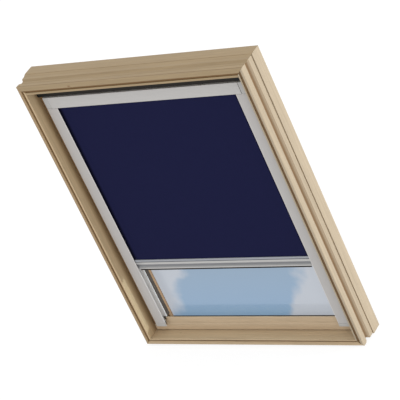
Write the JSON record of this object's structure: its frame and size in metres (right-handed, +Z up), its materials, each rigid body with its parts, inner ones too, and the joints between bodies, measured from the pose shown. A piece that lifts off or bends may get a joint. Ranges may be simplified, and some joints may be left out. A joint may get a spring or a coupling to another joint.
{
  "type": "skylight window with roller blind",
  "caption": "Pine centre-pivot roof window with double glazing, a ventilation bar along the sash top and a framed navy roller blind drawn part of the way down.",
  "frame": {"origin": "middle of the bottom member's outer face, half way through the window's depth", "axes": "+Z up the slope, +X to the right seen from the room, -Y towards the room"},
  "size_m": [0.78, 0.108, 0.98],
  "materials": {
    "pine": "clear satin lacquer on pine",
    "rubber": "matt black",
    "glass": "clear",
    "cover": "grey lacquered sheet",
    "steel": "zinc plated",
    "dark_bar": "dark grey lacquer",
    "black_plastic": "matt black",
    "aluminium": "light grey satin",
    "grey_plastic": "light grey satin",
    "fabric": "woven blackout cloth, navy"
  },
  "bodies": {
    "frame": {"frame_bottom_member": "pine", "frame_top_member": "pine", "frame_left_member": "pine", "frame_right_member": "pine", "frame_weather_gasket": "rubber", "frame_cover_bottom": "cover", "frame_cover_top": "cover", "frame_cover_left": "cover", "frame_cover_right": "cover", "frame_hinge_plate_left": "steel", "frame_hinge_plate_right": "steel"},
    "sash": {"sash_top_rail": "pine", "sash_bottom_rail": "pine", "sash_left_stile": "pine", "sash_right_stile": "pine", "glazing_gasket": "rubber", "rail_seal_left": "rubber", "rail_seal_right": "rubber", "inner_pane": "glass", "outer_pane": "glass", "sash_cover_bottom": "cover", "sash_cover_top": "cover", "sash_cover_left": "cover", "sash_cover_right": "cover", "pane_spacer": "steel", "sash_hinge_plate_left": "steel", "sash_hinge_plate_right": "steel", "pivot_pin_left": "steel", "pivot_pin_right": "steel", "vent_bar_rod": "steel", "rail_screw_left_lower": "steel", "rail_screw_left_middle": "steel", "rail_screw_left_upper": "steel", "rail_screw_right_lower": "steel", "rail_screw_right_middle": "steel", "rail_screw_right_upper": "steel", "vent_bar_bracket_left": "black_plastic", "vent_bar_bracket_right": "black_plastic", "rail_plug_left": "black_plastic", "rail_plug_right": "black_plastic", "cassette_front": "aluminium", "cassette_shell": "aluminium", "side_rail_left": "aluminium", "side_rail_right": "aluminium", "cassette_cap_left": "grey_plastic", "cassette_cap_right": "grey_plastic"},
    "vent_bar": {"vent_bar": "dark_bar", "vent_bar_cap_left": "black_plastic", "vent_bar_cap_right": "black_plastic"},
    "bottom_bar": {"bottom_bar": "aluminium", "bar_clamp_strip": "aluminium", "bar_seal": "rubber", "bar_glide_left": "black_plastic", "bar_glide_right": "black_plastic", "blind_fabric": "fabric"},
    "roller": {"roller_tube": "aluminium", "wound_fabric": "fabric", "roller_plug_left": "black_plastic", "roller_plug_right": "black_plastic", "spring_cartridge": "steel"}
  },
  "joints": [
    {"name": "sash_pivot", "type": "hinge", "parent": "frame", "child": "sash", "pos_m": [0, 0.016, 0.49], "axis": [1, 0, 0], "range_deg": [0, 160]},
    {"name": "vent_bar_hinge", "type": "hinge", "parent": "sash", "child": "vent_bar", "pos_m": [0, -0.015, 0.917], "axis": [1, 0, 0], "range_deg": [0, 55]},
    {"name": "blind_slide", "type": "slide", "parent": "sash", "child": "bottom_bar", "axis": [0, 0, 1], "range_m": [-0.219, 0.563], "deforming": ["blind_fabric"]},
    {"name": "roller_turn", "type": "hinge", "parent": "sash", "child": "roller", "pos_m": [0, -0.0029, 0.893], "axis": [-1, 0, 0], "range_deg": [-1050, 2700]}
  ],
  "couplings": [
    {"joint": "roller_turn", "follows": "blind_slide", "rad_per_m": 83.3}
  ]
}
